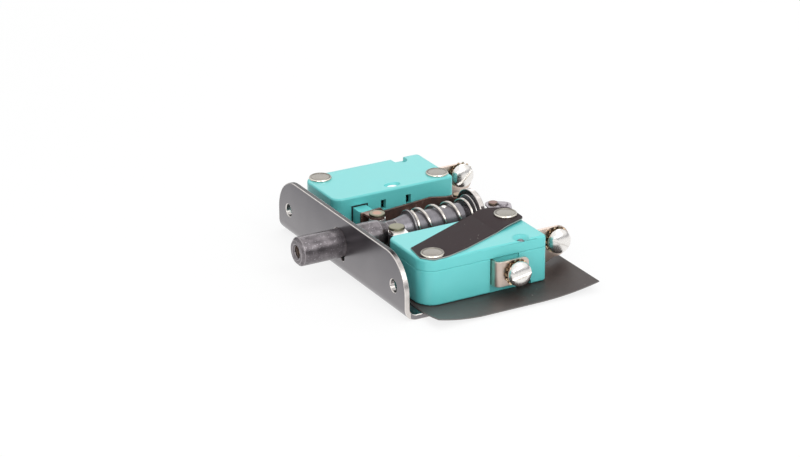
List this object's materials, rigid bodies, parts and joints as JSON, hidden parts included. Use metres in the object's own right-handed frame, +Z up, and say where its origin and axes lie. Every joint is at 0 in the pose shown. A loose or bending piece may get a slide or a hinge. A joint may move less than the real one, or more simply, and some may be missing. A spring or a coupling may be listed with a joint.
{
  "type": "double micro switch unit",
  "caption": "Panel-mounted limit switch: a sprung plunger on a folded steel bracket works two moulded micro switches through roller levers.",
  "frame": {"origin": "midway between the two fixing holes, on the front face of the flange", "axes": "+X along the flange, +Y along the plunger towards the rear, +Z up from the base plate"},
  "size_m": [0.088, 0.0692, 0.0169],
  "materials": {
    "bracket_steel": "satin plated sheet",
    "dark_steel": "dark oxide, lightly worn",
    "grey_steel": "turned, dull grey",
    "bright_steel": "bright turned",
    "spring_wire": "bright drawn wire",
    "pin_steel": "olive and copper tinted plating",
    "blued_steel": "blue-grey",
    "nickel_plate": "polished nickel",
    "brass": "dull",
    "terminal_bronze": "tinned, pinkish",
    "spring_bronze": "rolled strip",
    "contact_silver": "silver",
    "teal_plastic": "moulded, softly glossy",
    "fish_paper": "stiff dark fibre sheet, slight sheen"
  },
  "bodies": {
    "frame": {"bracket": "bracket_steel", "insulating_sheet": "fish_paper", "insulating_strap": "fish_paper", "hinge_stay": "blued_steel", "hinge_spacer": "grey_steel", "return_spring": "spring_wire", "spring_seat": "grey_steel", "left_switch_base": "teal_plastic", "left_switch_cover": "teal_plastic", "left_switch_rivets": "nickel_plate", "left_fixed_contact": "contact_silver", "left_side_terminal": "terminal_bronze", "left_end_terminal": "terminal_bronze", "left_terminal_screws": "nickel_plate", "left_lock_washers": "brass", "left_hinge_pin": "pin_steel", "right_switch_base": "teal_plastic", "right_switch_cover": "teal_plastic", "right_switch_rivets": "nickel_plate", "right_fixed_contact": "contact_silver", "right_side_terminal": "terminal_bronze", "right_end_terminal": "terminal_bronze", "right_terminal_screws": "nickel_plate", "right_lock_washers": "brass", "right_hinge_pin": "pin_steel"},
    "plunger": {"plunger": "dark_steel", "guide_sleeve": "grey_steel", "cross_pin": "bright_steel", "spring_clip": "grey_steel", "retaining_ring": "dark_steel"},
    "left_lever": {"left_lever": "dark_steel", "left_roller_pin": "pin_steel", "left_roller_washers": "bright_steel"},
    "left_roller": {"left_roller": "grey_steel"},
    "left_button": {"left_button": "teal_plastic"},
    "left_blade": {"left_snap_blade": "spring_bronze", "left_moving_contact": "contact_silver"},
    "right_lever": {"right_lever": "dark_steel", "right_roller_pin": "pin_steel", "right_roller_washers": "bright_steel"},
    "right_roller": {"right_roller": "grey_steel"},
    "right_button": {"right_button": "teal_plastic"},
    "right_blade": {"right_snap_blade": "spring_bronze", "right_moving_contact": "contact_silver"}
  },
  "joints": [
    {"name": "plunger_slide", "type": "slide", "parent": "frame", "child": "plunger", "axis": [0, 1, 0], "range_m": [0, 0.00247], "stiffness_N_per_m": 2000, "springref_m": -0.003, "deforming": ["return_spring"]},
    {"name": "left_lever_hinge", "type": "hinge", "parent": "frame", "child": "left_lever", "pos_m": [-0.0095, 0.0423, 0.0012], "axis": [0, 0, 1], "range_deg": [-2.01, 0]},
    {"name": "left_roller_spin", "type": "hinge", "parent": "left_lever", "child": "left_roller", "pos_m": [-0.00543, 0.0146, 0.0012], "axis": [0, 0, 1], "continuous": true},
    {"name": "left_button_slide", "type": "slide", "parent": "frame", "child": "left_button", "axis": [-1, 0, 0], "range_m": [0, 0.000964]},
    {"name": "left_blade_hinge", "type": "hinge", "parent": "frame", "child": "left_blade", "pos_m": [-0.0178, 0.01, 0.00036], "axis": [0, 0, 1], "range_deg": [0, 13.96]},
    {"name": "right_lever_hinge", "type": "hinge", "parent": "frame", "child": "right_lever", "pos_m": [0.0095, 0.0423, 0.0012], "axis": [0, 0, 1], "range_deg": [0, 2.01]},
    {"name": "right_roller_spin", "type": "hinge", "parent": "right_lever", "child": "right_roller", "pos_m": [0.00543, 0.0146, 0.0012], "axis": [0, 0, 1], "continuous": true},
    {"name": "right_button_slide", "type": "slide", "parent": "frame", "child": "right_button", "axis": [1, 0, 0], "range_m": [0, 0.000964]},
    {"name": "right_blade_hinge", "type": "hinge", "parent": "frame", "child": "right_blade", "pos_m": [0.0178, 0.01, 0.00036], "axis": [0, 0, 1], "range_deg": [-13.96, 0]}
  ],
  "couplings": [
    {"joint": "left_lever_hinge", "follows": "plunger_slide", "rad_per_m": -13.85},
    {"joint": "left_button_slide", "follows": "plunger_slide", "ratio": 0.38603},
    {"joint": "left_blade_hinge", "follows": "plunger_slide", "rad_per_m": 98.292},
    {"joint": "right_lever_hinge", "follows": "plunger_slide", "rad_per_m": 13.85},
    {"joint": "right_button_slide", "follows": "plunger_slide", "ratio": 0.38603},
    {"joint": "right_blade_hinge", "follows": "plunger_slide", "rad_per_m": -98.292}
  ]
}
